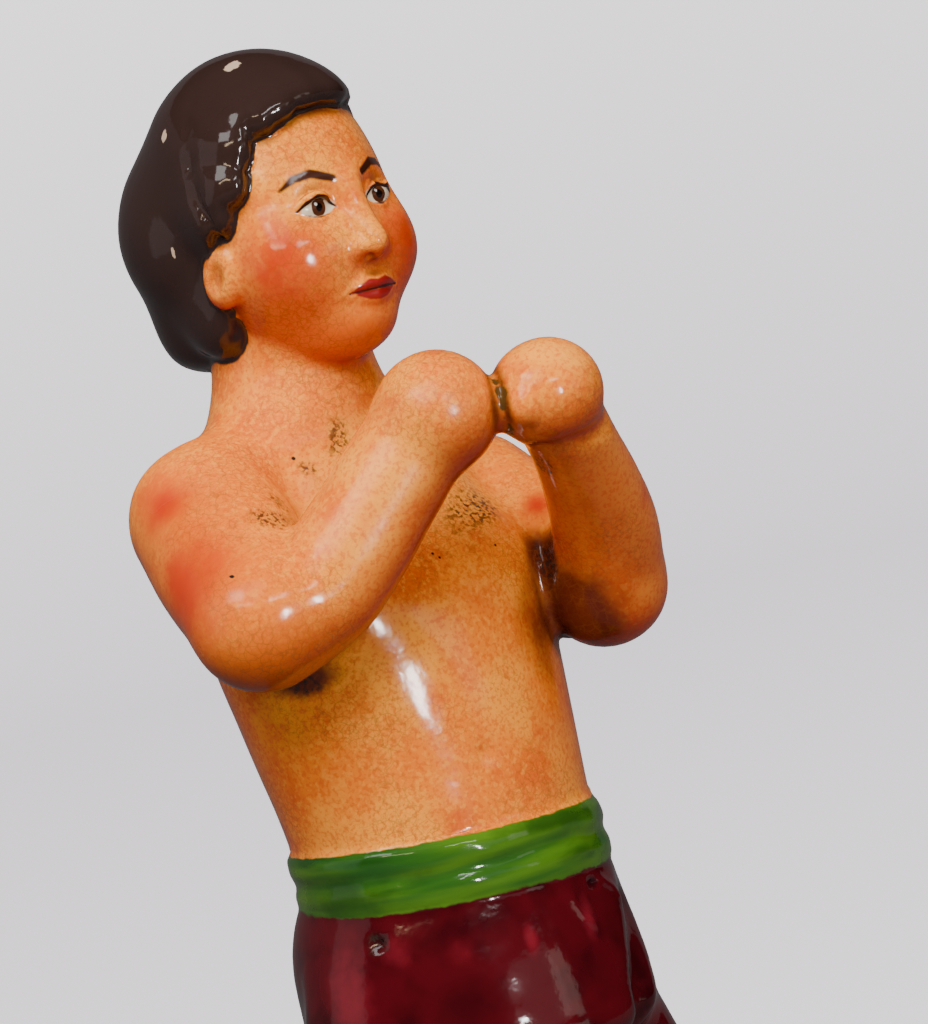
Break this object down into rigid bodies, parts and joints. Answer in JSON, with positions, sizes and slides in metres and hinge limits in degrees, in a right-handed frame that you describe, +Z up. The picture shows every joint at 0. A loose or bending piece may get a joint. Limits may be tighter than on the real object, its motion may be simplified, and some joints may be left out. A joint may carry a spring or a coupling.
{
  "type": "ceramic figurine",
  "caption": "Standing boxer figurine in hand-painted, glazed earthenware, with hands joined before the chest, on a low oval base.",
  "frame": {"origin": "centre of the oval base's flat underside", "axes": "+Z up through the figure, -Y the way the figure faces, +X towards its left hand"},
  "size_m": [0.074, 0.0602, 0.189],
  "materials": {
    "glazed_earthenware": "clear gloss glaze, finely crazed, over hand-painted colours"
  },
  "bodies": {
    "root": {"figurine": "glazed_earthenware"}
  },
  "joints": []
}
